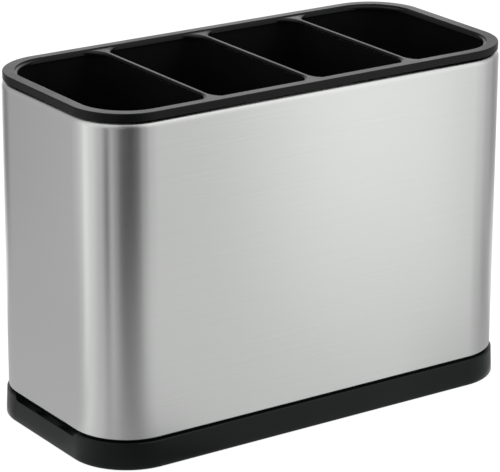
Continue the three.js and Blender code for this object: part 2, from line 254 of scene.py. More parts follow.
def quarter(centre, radius, start, end, steps):
    """Points of an arc about a centre, from one angle to another in degrees, as inset and height."""
    angles = [math.radians(start + (end - start) * step / steps) for step in range(steps + 1)]
    return [(centre[0] + radius * math.cos(a), centre[1] + radius * math.sin(a)) for a in angles]


def new_object(name, vertices, faces):
    mesh = bpy.data.meshes.new(name)
    mesh.from_pydata(vertices, [], faces)
    mesh.update()
    thing = bpy.data.objects.new(name, mesh)
    bpy.context.scene.collection.objects.link(thing)
    return thing


def loft(name, outlines, is_ring=False):
    """Skin over a run of outlines: closed on itself as a ring, or capped at its two ends."""
    count = len(outlines[0])
    vertices = [point for outline in outlines for point in outline]
    faces = []
    spans = len(outlines) if is_ring else len(outlines) - 1
    for level in range(spans):
        low = level * count
        high = (level + 1) % len(outlines) * count
        for point in range(count):
            after = (point + 1) % count
            faces.append((low + point, low + after, high + after, high + point))
    if not is_ring:
        last = (len(outlines) - 1) * count
        faces.append(tuple(reversed(range(count))))
        faces.append(tuple(range(last, last + count)))
    return new_object(name, vertices, faces)


def plug(name, section):
    return loft(name, [inset_outline(*point) for point in section])


def block(name, low, high):
    x0, y0, z0 = low
    x1, y1, z1 = high
    outlines = [[(x0, y0, z), (x1, y0, z), (x1, y1, z), (x0, y1, z)] for z in (z0, z1)]
    return loft(name, outlines)


def turned(name, x, y, profile, steps):
    """Solid turned about an upright axis from radii and heights, capped at both ends."""
    outlines = []
    for radius, z in profile:
        angles = [2 * math.pi * step / steps for step in range(steps)]
        outlines.append([(x + radius * math.cos(a), y + radius * math.sin(a), z) for a in angles])
    return loft(name, outlines)


def bar(name, x, y, radius, z0, z1, steps):
    return turned(name, x, y, [(radius, z0), (radius, z1)], steps)


def combine(body, tools, operation):
    """Joins tools to a body, cuts them from it or keeps what they share, and deletes the tools."""
    for tool in tools:
        modifier = body.modifiers.new(operation, "BOOLEAN")
        modifier.operation = operation
        modifier.solver = "MANIFOLD"
        modifier.object = tool
    graph = bpy.context.evaluated_depsgraph_get()
    mesh = bpy.data.meshes.new_from_object(body.evaluated_get(graph))
    body.modifiers.clear()
    old = body.data
    body.data = mesh
    bpy.data.meshes.remove(old)
    for tool in tools:
        data = tool.data
        bpy.data.objects.remove(tool)
        bpy.data.meshes.remove(data)
    return body


def cut(body, *tools):
    return combine(body, tools, "DIFFERENCE")


def join(body, *tools):
    return combine(body, tools, "UNION")


def share(body, *tools):
    return combine(body, tools, "INTERSECT")


def finish_mesh(thing, sharp_degrees=SHARP_DEGREES):
    """Merges slivers, shades smooth between sharp edges and lets large faces set the normals."""
    shape = bmesh.new()
    shape.from_mesh(thing.data)
    bmesh.ops.remove_doubles(shape, verts=shape.verts, dist=MERGE_DISTANCE)
    bmesh.ops.dissolve_degenerate(shape, edges=shape.edges, dist=MERGE_DISTANCE)
    shape.to_mesh(thing.data)
    shape.free()
    thing.data.shade_smooth()
    thing.data.set_sharp_from_angle(angle=math.radians(sharp_degrees))
    weighted = thing.modifiers.new("weighted", "WEIGHTED_NORMAL")
    weighted.keep_sharp = True
    weighted.weight = NORMAL_WEIGHT


def dress(piece, body, material, slot, *nodes):
    """Puts a piece on its body in place of its CAD nodes, with its material."""
    piece.data.materials.clear()
    piece.data.materials.append(material)
    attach(piece, body)
    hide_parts(*nodes)


# Pieces


def make_sleeve():
    """One sheet, turned in at the top as a shoulder and at the bottom as a hem."""
    shoulder = (SHOULDER_RADIUS, SHELL_TOP - SHOULDER_RADIUS)
    hem = (HEM_RADIUS, SHELL_BOTTOM + HEM_RADIUS)
    section = [
        (HEM_INSET, SHELL_BOTTOM + FOLD_EDGE),
        (HEM_INSET - FOLD_EDGE, SHELL_BOTTOM),
        *quarter(hem, HEM_RADIUS, 270, 180, BEND_STEPS),
        *quarter(shoulder, SHOULDER_RADIUS, 180, 90, BEND_STEPS),
        (SHOULDER_INSET - FOLD_EDGE, SHELL_TOP),
        (SHOULDER_INSET, SHELL_TOP - FOLD_EDGE),
        (SHOULDER_INSET, SHELL_TOP - SHEET),
        *quarter(shoulder, SHOULDER_RADIUS - SHEET, 90, 180, BEND_STEPS),
        *quarter(hem, HEM_RADIUS - SHEET, 180, 270, BEND_STEPS),
        (HEM_INSET, SHELL_BOTTOM + SHEET),
    ]
    sleeve = loft("steel_sleeve", [inset_outline(*point) for point in section], True)
    finish_mesh(sleeve)
    return sleeve


def base_body(name):
    foot = (SKIRT_FOOT_RADIUS - SKIRT_OUTSET, SKIRT_BOTTOM + SKIRT_FOOT_RADIUS)
    top = (SKIRT_TOP_RADIUS - LEDGE_OUTSET, LEDGE - SKIRT_TOP_RADIUS)
    return plug(name, [
        *quarter(foot, SKIRT_FOOT_RADIUS, 270, 180, SMALL_STEPS),
        *quarter(top, SKIRT_TOP_RADIUS, 180, 90, SMALL_STEPS),
        (STEP_INSET, LEDGE),
        (STEP_INSET, STEP),
        (SPIGOT_INSET, STEP),
        (SPIGOT_INSET, SPIGOT_TOP - SPIGOT_LEAD),
        (SPIGOT_INSET + SPIGOT_LEAD, SPIGOT_TOP),
    ])


def tray_hollow():
    fillet = (TRAY_INSET + TRAY_FILLET, TRAY_TOP + TRAY_FILLET)
    return plug("tray_hollow", [
        *quarter(fillet, TRAY_FILLET, 270, 180, SMALL_STEPS),
        (TRAY_INSET, SPIGOT_TOP + OVERRUN),
    ])


def underside_hollow():
    """A shallow space below the tray floor and a deep moat behind the skirt."""
    whole = plug("underside", [
        (SKIRT_WALL - SKIRT_OUTSET, SKIRT_BOTTOM - OVERRUN),
        (SKIRT_WALL - LEDGE_OUTSET, LEDGE - LEDGE_WALL),
    ])
    fillet = (MOAT_INSET + TRAY_FILLET, TRAY_UNDER + TRAY_FILLET)
    tray_wall = plug("tray_wall", [
        *quarter(fillet, TRAY_FILLET, 270, 180, SMALL_STEPS),
        (MOAT_INSET, LEDGE),
    ])
    return cut(whole, tray_wall)


def foot_places():
    boxes = [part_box(name) for name in FOOT_NAMES]
    return [((low.x + high.x) / 2, (low.y + high.y) / 2) for low, high in boxes]


def base_ribs():
    """Ribs that cross the tray floor and close the moat at their ends, but not at the notch."""
    low = SKIRT_BOTTOM + RIB_LIFT
    moat_low = SKIRT_BOTTOM + MOAT_RIB_LIFT
    floor = TRAY_UNDER + TRAY_FLOOR / 2
    ledge = LEDGE - LEDGE_WALL / 2
    half = RIB_THICKNESS / 2
    foot_x = max(x for x, _ in foot_places())
    near_y = HALF_DEPTH - MOAT_INSET - SKIRT_WALL / 2
    near_x = HALF_LENGTH - MOAT_INSET - SKIRT_WALL / 2
    ribs = []
    for index in range(RIB_COUNT):
        x = foot_x * (2 * index / (RIB_COUNT - 1) - 1)
        ribs.append(block("rib", (x - half, -HALF_DEPTH, low), (x + half, HALF_DEPTH, floor)))
        ribs.append(block("rib", (x - half, near_y, moat_low), (x + half, HALF_DEPTH, ledge)))
        ribs.append(block("rib", (x - half, -HALF_DEPTH, moat_low), (x + half, -near_y, ledge)))
    for y in (-LONG_RIB_OFFSET, 0.0, LONG_RIB_OFFSET):
        ribs.append(block("rib", (-HALF_LENGTH, y - half, low), (HALF_LENGTH, y + half, floor)))
        ribs.append(block("rib", (near_x, y - half, moat_low), (HALF_LENGTH, y + half, ledge)))
    return join(ribs[0], *ribs[1:])


def notch_outline(x, sink):
    """The notch's outline across one plane, its sloping ends kept in line as its floor sinks."""
    floor = LEDGE - NOTCH_DROP - sink
    top = SHELL_BOTTOM + HEM_RADIUS
    slope = (NOTCH_MOUTH_HALF - NOTCH_FLOOR_HALF) / NOTCH_DROP
    half = NOTCH_FLOOR_HALF - slope * sink
    top_half = half + slope * (top - floor)
    corner_half = half + slope * NOTCH_CORNER
    bend = [(half - NOTCH_CORNER, floor), (half, floor), (corner_half, floor + NOTCH_CORNER)]
    curve = []
    for step in range(SMALL_STEPS + 1):
        t = step / SMALL_STEPS
        y, z = ((1 - t) ** 2 * a + 2 * t * (1 - t) * b + t * t * c for a, b, c in zip(*bend))
        curve.append((y, z))
    right = [*curve, (top_half, top)]
    left = [(-y, z) for y, z in reversed(right)]
    return [(x, y, z) for y, z in left + right]


def notch_cutter():
    """The notch: a lip rounded over at the skirt's face, and a floor that dips behind it."""
    surface = -HALF_LENGTH - NOTCH_FACE
    inner = SPIGOT_INSET + NOTCH_RELIEF - HALF_LENGTH
    lip = quarter((surface + NOTCH_LIP, NOTCH_LIP), NOTCH_LIP, 180, 270, SMALL_STEPS)
    stations = [
        (surface - OVERRUN, NOTCH_LIP),
        *lip,
        (surface + NOTCH_LIP + NOTCH_SCOOP, NOTCH_SCOOP),
        (inner, NOTCH_SCOOP),
    ]
    return loft("notch", [notch_outline(*station) for station in stations])


def make_base():
    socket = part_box(FOOT_NAMES[0])
    socket_radius = (socket[1].x - socket[0].x) / 2 + FOOT_FIT
    boss_top = TRAY_UNDER + TRAY_FLOOR / 2
    boss_bottom = SKIRT_BOTTOM + SOCKET_LIFT
    places = foot_places()
    body = cut(base_body("base_moulding"), tray_hollow(), underside_hollow())
    ribs = share(base_ribs(), base_body("limit"))
    bosses = [
        bar("boss", x, y, socket_radius + SOCKET_WALL, boss_bottom, boss_top, ROUND_STEPS)
        for x, y in places
    ]
    sockets = [
        bar("socket", x, y, socket_radius, SKIRT_BOTTOM - OVERRUN, TRAY_UNDER, ROUND_STEPS)
        for x, y in places
    ]
    join(body, ribs, *bosses)
    cut(body, tray_hollow(), notch_cutter(), *sockets)
    finish_mesh(body)
    return body


def make_foot(node):
    """Round rubber pad with a shallow ring groove in its tread."""
    low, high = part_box(node)
    x, y = (low.x + high.x) / 2, (low.y + high.y) / 2
    radius = (high.x - low.x) / 2
    inner = GROOVE_RADIUS - GROOVE_WIDTH / 2
    outer = GROOVE_RADIUS + GROOVE_WIDTH / 2
    edge = quarter((radius - FOOT_EDGE, FOOT_EDGE), FOOT_EDGE, -90, 0, SMALL_STEPS)
    foot = turned("rubber_" + node, x, y, [
        (inner, 0.0),
        (inner + GROOVE_DEPTH, GROOVE_DEPTH),
        (outer - GROOVE_DEPTH, GROOVE_DEPTH),
        (outer, 0.0),
        *edge,
        (radius, high.z),
    ], ROUND_STEPS)
    finish_mesh(foot)
    return foot


def pocket_plans(half_length, end_radii, inner_radii):
    """Sides of a row of four pockets, and each one's corner radii at the pocket and at the mouth."""
    plans = []
    for index in range(len(DIVIDER_PLACES) + 1):
        is_first = index == 0
        is_last = index == len(DIVIDER_PLACES)
        left = -half_length if is_first else DIVIDER_PLACES[index - 1] + DIVIDER_WIDTH / 2
        right = half_length if is_last else DIVIDER_PLACES[index] - DIVIDER_WIDTH / 2
        left_radii = end_radii if is_first else inner_radii
        right_radii = end_radii if is_last else inner_radii
        plans.append((left, right, [right_radii, left_radii, left_radii, right_radii]))
    return plans


def pocket_plug(plan, section):
    """Skin over a pocket's outline at insets, heights and shares of the way to the mouth's corners."""
    left, right, radii = plan
    half_depth = HALF_DEPTH - MOUTH_INSET
    outlines = []
    for inset, z, rise in section:
        outlines.append(rounded_outline(
            left + inset, right - inset, inset - half_depth, half_depth - inset,
            [pocket + (mouth - pocket) * rise - inset for pocket, mouth in radii], z,
        ))
    return loft("pocket", outlines)


def mouth_outline(inset, z):
    """The land's inner edge round all four pockets, taken in by an inset."""
    x = HALF_LENGTH - MOUTH_INSET - MOUTH_END_INSET - inset
    y = HALF_DEPTH - MOUTH_INSET - inset
    return rounded_outline(-x, x, -y, y, [MOUTH_CORNER - inset] * 4, z)


def mouth_plug(bottom):
    """The opening inside the land: a rounded edge, then a lip that steepens towards its foot."""
    edge = quarter((-MOUTH_ROUND, RIM_TOP - MOUTH_ROUND), MOUTH_ROUND, 0, 90, SMALL_STEPS)
    head = RIM_TOP - MOUTH_ROUND
    profile = [
        (LIP_REACH, PLATE_UNDER - OVERRUN),
        (LIP_REACH, PLATE_UNDER),
        (LIP_HEAD_REACH, head - LIP_HEAD),
        *edge,
        (-MOUTH_ROUND, RIM_TOP + OVERRUN),
    ]
    above = [point for point in profile if point[1] > bottom]
    if len(above) < len(profile):
        share_down = (head - bottom) / LIP_HEAD
        above.insert(0, (LIP_HEAD_REACH * share_down, bottom))
    return loft("mouth", [mouth_outline(*point) for point in above])


def pocket_mouth(plan):
    """A pocket's opening below the dividers' level, with a sloping ledge at each corner."""
    foot = DIVIDER_TOP - DIVIDER_LIP
    ledge = []
    for step in range(BEND_STEPS + 1):
        rise = step / BEND_STEPS
        below = LEDGE_FALL * (1 - rise)
        climb = max(0.0, 1 - below / DIVIDER_ROUND)
        rounding = DIVIDER_ROUND * (1 - math.sqrt(1 - climb ** 2))
        slope = DIVIDER_LIP_REACH * (1 - below / DIVIDER_LIP)
        ledge.append((-slope - rounding, DIVIDER_TOP - below, rise))
    opening = pocket_plug(plan, [
        (-DIVIDER_RELIEF, PLATE_UNDER - OVERRUN, 0.0),
        (-DIVIDER_RELIEF, foot - DIVIDER_RELIEF, 0.0),
        (0.0, foot, 0.0),
        *ledge,
        (-DIVIDER_LIP_REACH - DIVIDER_ROUND, DIVIDER_TOP + OVERRUN, 1.0),
    ])
    return share(opening, mouth_plug(PLATE_UNDER - OVERRUN * 2))


def make_rim():
    """Black top: a flat land over a short skirt, four sloped mouths and lower cross bars."""
    edge = (RIM_INSET + RIM_EDGE_RADIUS, RIM_TOP - RIM_EDGE_RADIUS)
    foot = (RIM_INSET + RIM_FOOT_RADIUS, RIM_BOTTOM + RIM_FOOT_RADIUS)
    body = plug("rim_moulding", [
        *quarter(foot, RIM_FOOT_RADIUS, 270, 180, SMALL_STEPS),
        *quarter(edge, RIM_EDGE_RADIUS, 180, 90, BEND_STEPS),
    ])
    channel = plug("channel", [
        (RIM_INSET + RIM_SKIRT, RIM_BOTTOM - OVERRUN),
        (RIM_INSET + RIM_SKIRT, PLATE_UNDER),
    ])
    half_length = HALF_LENGTH - MOUTH_INSET - MOUTH_END_INSET
    end_radii = (POCKET_CORNER, MOUTH_CORNER)
    plans = pocket_plans(half_length, end_radii, (FLARE_RADIUS, FLARE_TOP_RADIUS))
    cut(body, channel, mouth_plug(DIVIDER_TOP), *[pocket_mouth(plan) for plan in plans])
    finish_mesh(body, LEDGE_SHARP_DEGREES)
    return body


def draft_at(z):
    """How far a liner wall has come in at a height below the flange."""
    return LINER_DRAFT * (FLANGE_TOP - z)


def pocket_hollow(plan):
    floor_inset = draft_at(POCKET_FLOOR + POCKET_FILLET) - LIP_OVERHANG
    fillet = (floor_inset + POCKET_FILLET, POCKET_FLOOR + POCKET_FILLET)
    return pocket_plug(plan, [
        *[(*point, 0.0) for point in quarter(fillet, POCKET_FILLET, 270, 180, BEND_STEPS)],
        (-LIP_OVERHANG, FLANGE_TOP, 0.0),
        (-LIP_OVERHANG, FLANGE_TOP + OVERRUN, 0.0),
    ])


def divider_core(x):
    """Tapered slot from below, between two pocket walls of even thickness."""
    low = LINER_BOTTOM - OVERRUN
    low_half = DIVIDER_WIDTH / 2 - LIP_OVERHANG + draft_at(low) - LINER_WALL
    tip_half = CORE_TIP / 2
    tip = FLANGE_TOP - (tip_half + LINER_WALL + LIP_OVERHANG - DIVIDER_WIDTH / 2) / LINER_DRAFT
    y = HALF_DEPTH - MOUTH_INSET - draft_at(LINER_BOTTOM) - CORE_END_WALL
    return loft("core", [
        [(x - half, -y, z), (x + half, -y, z), (x + half, y, z), (x - half, y, z)]
        for half, z in ((low_half, low), (tip_half, tip))
    ])


def pocket_drains(plan):
    """Five drain holes in a quincunx."""
    middle = (plan[0] + plan[1]) / 2
    step_shares = ((0, 0), (-1, -1), (-1, 1), (1, -1), (1, 1))
    low, high = LINER_BOTTOM - OVERRUN, POCKET_FLOOR + OVERRUN
    return [
        bar("drain", middle + a * DRAIN_STEP_X, b * DRAIN_STEP_Y, DRAIN_RADIUS, low, high, DRAIN_STEPS)
        for a, b in step_shares
    ]


def make_liner():
    """Black moulding of four drafted pockets that hang from one flange."""
    foot_inset = LINER_INSET + draft_at(LINER_BOTTOM + LINER_FILLET)
    fillet = (foot_inset + LINER_FILLET, LINER_BOTTOM + LINER_FILLET)
    body = plug("liner_moulding", [
        *quarter(fillet, LINER_FILLET, 270, 180, SMALL_STEPS),
        (LINER_INSET + draft_at(FLANGE_BOTTOM), FLANGE_BOTTOM),
        (FLANGE_INSET, FLANGE_BOTTOM),
        (FLANGE_INSET, FLANGE_TOP),
    ])
    end_radius = SHELL_CORNER - MOUTH_INSET
    plans = pocket_plans(HALF_LENGTH - MOUTH_INSET, [end_radius] * 2, [LINER_FLARE] * 2)
    drains = [drain for plan in plans for drain in pocket_drains(plan)]
    cores = [divider_core(x) for x in DIVIDER_PLACES]
    cut(body, *[pocket_hollow(plan) for plan in plans], *cores, *drains)
    finish_mesh(body)
    return body


# Materials: colours are linear, grain is in noise cells per metre, and bump depths are in metres

STEEL_DARK = (0.662, 0.672, 0.662)
STEEL_LIGHT = (0.690, 0.700, 0.690)
STEEL_FINE_GRAIN = (25.0, 25.0, 7000.0)
STEEL_MEDIUM_GRAIN = (12.0, 12.0, 2200.0)
STEEL_FINE_SHARE = 0.6
RUBBER_DARK = (0.014, 0.014, 0.014)
RUBBER_LIGHT = (0.026, 0.026, 0.025)
PLASTICS = {
    "rim_black": {
        "dark": (0.0030, 0.0033, 0.0033),
        "light": (0.0042, 0.0045, 0.0045),
        "rough": (0.27, 0.35),
        "specular": 0.155,
        "spark_scale": 1800.0,
        "spark_depth": 0.00002,
    },
    "liner_black": {
        "dark": (0.0015, 0.0016, 0.0015),
        "light": (0.0024, 0.0025, 0.0024),
        "rough": (0.58, 0.68),
        "specular": 0.09,
        "spark_scale": 1500.0,
        "spark_depth": 0.00004,
    },
    "base_black": {
        "dark": (0.0014, 0.0026, 0.0022),
        "light": (0.0021, 0.0038, 0.0033),
        "rough": (0.28, 0.36),
        "specular": 0.22,
        "spark_scale": 1800.0,
        "spark_depth": 0.00002,
    },
}

# Sockets of a Mix node that mixes colours
MIX_FACTOR = 0
MIX_FIRST = 6
MIX_SECOND = 7
MIX_RESULT = 2


class Shader:
    """A material's node tree with short calls for the nodes that it needs."""

    def __init__(self, name):
        self.material = bpy.data.materials.new(name)
        self.material.use_nodes = True
        self.tree = self.material.node_tree
        self.tree.nodes.clear()
        self.surface = self.node("ShaderNodeBsdfPrincipled")
        output = self.node("ShaderNodeOutputMaterial")
        self.link(self.surface.outputs["BSDF"], output.inputs["Surface"])
        self.place = self.node("ShaderNodeTexCoord").outputs["Object"]

    def node(self, kind, **settings):
        made = self.tree.nodes.new(kind)
        for key, value in settings.items():
            setattr(made, key, value)
        return made

    def link(self, start, end):
        self.tree.links.new(start, end)

    def set(self, **values):
        for key, value in values.items():
            self.surface.inputs[key.replace("_", " ")].default_value = value

    def scaled(self, scale):
        mapping = self.node("ShaderNodeMapping")
        mapping.inputs["Scale"].default_value = scale
        self.link(self.place, mapping.inputs["Vector"])
        return mapping.outputs["Vector"]

    def noise(self, scale, detail=3.0, roughness=0.5, stretch=(1.0, 1.0, 1.0)):
        made = self.node("ShaderNodeTexNoise")
        made.inputs["Scale"].default_value = scale
        made.inputs["Detail"].default_value = detail
        made.inputs["Roughness"].default_value = roughness
        self.link(self.scaled(stretch), made.inputs["Vector"])
        return made.outputs["Fac"]

    def spread(self, value, low, high, start=0.3, end=0.7):
        made = self.node("ShaderNodeMapRange")
        self.link(value, made.inputs["Value"])
        for key, number in (("From Min", start), ("From Max", end), ("To Min", low), ("To Max", high)):
            made.inputs[key].default_value = number
        return made.outputs["Result"]

    def math(self, operation, first, second):
        made = self.node("ShaderNodeMath", operation=operation)
        for socket, value in zip(made.inputs, (first, second)):
            if isinstance(value, (int, float)):
                socket.default_value = value
            else:
                self.link(value, socket)
        return made.outputs["Value"]

    def mix_colour(self, factor, first, second):
        made = self.node("ShaderNodeMix", data_type="RGBA")
        self.link(factor, made.inputs[MIX_FACTOR])
        made.inputs[MIX_FIRST].default_value = (*first, 1.0)
        made.inputs[MIX_SECOND].default_value = (*second, 1.0)
        return made.outputs[MIX_RESULT]

    def bump(self, height, distance, strength=1.0, after=None):
        made = self.node("ShaderNodeBump")
        made.inputs["Distance"].default_value = distance
        made.inputs["Strength"].default_value = strength
        self.link(height, made.inputs["Height"])
        if after is not None:
            self.link(after, made.inputs["Normal"])
        return made.outputs["Normal"]


def brushed_steel():
    """Horizontal brushed grain at two scales over a soft cloud, with a sheen drawn out across it."""
    shader = Shader("brushed_steel")
    shader.set(Metallic=1.0, Anisotropic=1.0, Anisotropic_Rotation=0.25)
    tangent = shader.node("ShaderNodeTangent", direction_type="RADIAL", axis="Z")
    shader.link(tangent.outputs["Tangent"], shader.surface.inputs["Tangent"])
    fine = shader.noise(scale=1.0, detail=2.0, roughness=0.6, stretch=STEEL_FINE_GRAIN)
    medium = shader.noise(scale=1.0, detail=3.0, roughness=0.6, stretch=STEEL_MEDIUM_GRAIN)
    cloud = shader.noise(scale=14.0, detail=3.0)
    fine_part = shader.math("MULTIPLY", fine, STEEL_FINE_SHARE)
    medium_part = shader.math("MULTIPLY", medium, 1 - STEEL_FINE_SHARE)
    streak = shader.math("ADD", fine_part, medium_part)
    tone = shader.spread(streak, low=0.0, high=1.0, start=0.35, end=0.65)
    colour = shader.mix_colour(tone, STEEL_DARK, STEEL_LIGHT)
    shader.link(colour, shader.surface.inputs["Base Color"])
    grain_rough = shader.spread(medium, low=0.23, high=0.25)
    cloud_rough = shader.spread(cloud, low=-0.005, high=0.005)
    rough = shader.math("ADD", grain_rough, cloud_rough)
    shader.link(rough, shader.surface.inputs["Roughness"])
    scratches = shader.bump(streak, distance=0.00001, strength=0.12)
    shader.link(scratches, shader.surface.inputs["Normal"])
    return shader.material


def moulded_black(name):
    """Moulded plastic: a fine spark texture, faint flow marks and slightly uneven gloss."""
    look = PLASTICS[name]
    shader = Shader(name)
    shader.set(Specular_IOR_Level=look["specular"])
    flow = shader.noise(scale=30.0, detail=4.0, roughness=0.55)
    spark = shader.noise(scale=look["spark_scale"], detail=2.0, roughness=0.6)
    scuff = shader.noise(scale=140.0, detail=4.0, roughness=0.7)
    tone = shader.spread(flow, low=0.0, high=1.0)
    colour = shader.mix_colour(tone, look["dark"], look["light"])
    shader.link(colour, shader.surface.inputs["Base Color"])
    flow_rough = shader.spread(flow, *look["rough"])
    scuff_rough = shader.spread(scuff, low=-0.02, high=0.03)
    rough = shader.math("ADD", flow_rough, scuff_rough)
    shader.link(rough, shader.surface.inputs["Roughness"])
    swell = shader.bump(flow, distance=0.0001, strength=0.15)
    sparks = shader.bump(spark, distance=look["spark_depth"], strength=0.5, after=swell)
    shader.link(sparks, shader.surface.inputs["Normal"])
    return shader.material


def foot_rubber():
    """Dull rubber with a fine grain and a little dust."""
    shader = Shader("foot_rubber")
    shader.set(Specular_IOR_Level=0.3)
    grain = shader.noise(scale=2500.0, detail=3.0, roughness=0.7)
    dust = shader.noise(scale=220.0, detail=3.0, roughness=0.6)
    tone = shader.spread(dust, low=0.0, high=1.0)
    colour = shader.mix_colour(tone, RUBBER_DARK, RUBBER_LIGHT)
    shader.link(colour, shader.surface.inputs["Base Color"])
    rough = shader.spread(grain, low=0.72, high=0.9)
    shader.link(rough, shader.surface.inputs["Roughness"])
    pores = shader.bump(grain, distance=0.00006, strength=0.6)
    shader.link(pores, shader.surface.inputs["Normal"])
    return shader.material


# Stage and light

WHITE = (1.0, 1.0, 1.0, 1.0)
WORLD_WHITE_LEVEL = 1.0
WORLD_LIGHT_LEVEL = 0.55
FLOOR_RADIUS = 3.0
FLOOR_THICKNESS = 0.004
FLOOR_COLOUR = (0.14, 0.14, 0.14, 1.0)
FLOOR_WHITE_LEVEL = 0.93
FLOOR_LIGHT_LEVEL = 0.25
FULL_TURN = 360

# Soft lamps: name, azimuth, elevation, distance, size, power, and whether gloss sees them
LAMPS = (
    ("key", -50, 40, 1.2, 0.8, 14.0, False),
    ("fill", 175, 30, 1.2, 0.6, 6.0, False),
    ("top", -62, 63, 1.3, 1.0, 1.4, True),
    ("back", 46, 24, 1.4, 0.9, 1.5, True),
)

# Cards round the object: a ring that rises from its foot to a wall, and the wall's heights
COVE_RADIUS = 0.25
COVE_GAP = 0.003
COVE_STEP = 0.005
COVE_HEIGHT = 0.50
COVE_LOW_HEIGHT = 0.15
COVE_LIFT = 0.0004
COVE_SWEEP = 0.012
COVE_FOOT_HEIGHT = 0.0045
COVE_FLOOR_HEIGHT = 0.009
COVE_FULL_HEIGHT = 0.07
COVE_HEAD_HEIGHT = 0.13
COVE_HEAD_TOP = 0.21

# Direction in degrees from +X, and the wall's share of the way down to its low height
COVE_DIPS = (
    (0, 0.0),
    (35, 1.0),
    (98, 1.0),
    (110, 0.0),
    (185, 0.0),
    (196, 0.6),
    (210, 0.6),
    (222, 0.0),
    (245, 0.0),
    (265, 0.45),
    (330, 0.45),
    (345, 0.0),
    (360, 0.0),
)

# Direction in degrees from +X, and how bright the cards are there: at the wall's head, on the wall,
# on the floor and at the object's foot
COVE_HEAD_SHARES = (
    (0, 0.56),
    (18, 0.95),
    (95, 0.70),
    (108, 0.48),
    (134, 0.48),
    (145, 0.56),
    (160, 0.60),
    (169, 0.90),
    (184, 1.00),
    (196, 0.76),
    (214, 0.40),
    (231, 0.12),
    (239, 0.20),
    (250, 0.54),
    (262, 0.80),
    (280, 0.92),
    (305, 1.20),
    (323, 1.05),
    (341, 0.70),
    (352, 0.50),
)
COVE_WALL_SHARES = (
    (0, 0.42),
    (8, 0.50),
    (18, 0.80),
    (100, 0.95),
    (110, 0.78),
    (119, 0.30),
    (129, 0.26),
    (136, 0.42),
    (141, 0.50),
    (160, 0.65),
    (169, 0.78),
    (176, 1.14),
    (184, 0.86),
    (196, 0.56),
    (203, 0.15),
    (208, 0.53),
    (214, 0.30),
    (218, 0.12),
    (222, 0.07),
    (232, 0.05),
    (239, 0.09),
    (250, 0.32),
    (262, 0.58),
    (280, 0.72),
    (303, 1.12),
    (311, 1.09),
    (319, 0.86),
    (325, 0.80),
    (341, 0.56),
    (352, 0.38),
)
COVE_FLOOR_SHARES = (
    (0, 0.80),
    (15, 1.04),
    (100, 1.10),
    (114, 1.08),
    (124, 0.56),
    (160, 0.54),
    (168, 0.63),
    (177, 0.92),
    (196, 0.60),
    (203, 0.52),
    (208, 0.60),
    (222, 0.30),
    (236, 0.38),
    (242, 0.52),
    (250, 0.76),
    (262, 0.78),
    (278, 0.76),
    (300, 0.90),
    (312, 0.91),
    (328, 0.62),
    (341, 0.42),
    (352, 0.54),
)
COVE_FOOT_SHARES = (
    (0, 0.80),
    (15, 1.04),
    (100, 1.10),
    (124, 0.56),
    (175, 0.57),
    (181, 0.62),
    (188, 0.85),
    (195, 0.70),
    (203, 0.50),
    (214, 0.38),
    (220, 0.32),
    (225, 0.40),
    (230, 0.58),
    (237, 0.68),
    (257, 0.72),
    (286, 0.74),
    (309, 0.78),
    (321, 0.66),
    (335, 0.50),
    (350, 0.50),
)


def white_to_camera(tree, level, strength):
    """One strength where the camera, metal or glass sees the surface, and a plain level otherwise."""
    path = tree.nodes.new("ShaderNodeLightPath")
    seen = path.outputs["Is Camera Ray"]
    for ray in ("Is Glossy Ray", "Is Transmission Ray"):
        either = tree.nodes.new("ShaderNodeMath")
        either.operation = "MAXIMUM"
        tree.links.new(seen, either.inputs[0])
        tree.links.new(path.outputs[ray], either.inputs[1])
        seen = either.outputs["Value"]
    scale = tree.nodes.new("ShaderNodeMapRange")
    tree.links.new(seen, scale.inputs["Value"])
    scale.inputs["To Min"].default_value = level
    scale.inputs["To Max"].default_value = strength
    return scale.outputs["Result"]


def make_world():
    world = bpy.data.worlds.new("studio")
    bpy.context.scene.world = world
    world.use_nodes = True
    tree = world.node_tree
    background = tree.nodes["Background"]
    background.inputs["Color"].default_value = WHITE
    strength = white_to_camera(tree, WORLD_LIGHT_LEVEL, WORLD_WHITE_LEVEL)
    tree.links.new(strength, background.inputs["Strength"])


def make_floor():
    floor = bar("floor", 0.0, 0.0, FLOOR_RADIUS, -FLOOR_THICKNESS, 0.0, ROUND_STEPS)
    material = bpy.data.materials.new("white_floor")
    material.use_nodes = True
    tree = material.node_tree
    tree.nodes.clear()
    paper = tree.nodes.new("ShaderNodeBsdfDiffuse")
    paper.inputs["Color"].default_value = FLOOR_COLOUR
    glow = tree.nodes.new("ShaderNodeEmission")
    strength = white_to_camera(tree, FLOOR_LIGHT_LEVEL, FLOOR_WHITE_LEVEL)
    tree.links.new(strength, glow.inputs["Strength"])
    both = tree.nodes.new("ShaderNodeAddShader")
    tree.links.new(paper.outputs["BSDF"], both.inputs[0])
    tree.links.new(glow.outputs["Emission"], both.inputs[1])
    output = tree.nodes.new("ShaderNodeOutputMaterial")
    tree.links.new(both.outputs["Shader"], output.inputs["Surface"])
    floor.data.materials.append(material)


def level_ramp(tree, turn, shares):
    """Level by direction, from a share of a whole turn."""
    ramp = tree.nodes.new("ShaderNodeValToRGB")
    ramp.color_ramp.interpolation = "EASE"
    stops = ramp.color_ramp.elements
    while len(stops) > 1:
        stops.remove(stops[-1])
    for index, (degrees, level) in enumerate(shares + ((FULL_TURN, shares[0][1]),)):
        stop = stops[0] if index == 0 else stops.new(degrees / FULL_TURN)
        stop.position = degrees / FULL_TURN
        stop.color = (level, level, level, 1.0)
    tree.links.new(turn, ramp.inputs["Fac"])
    return ramp.outputs["Color"]


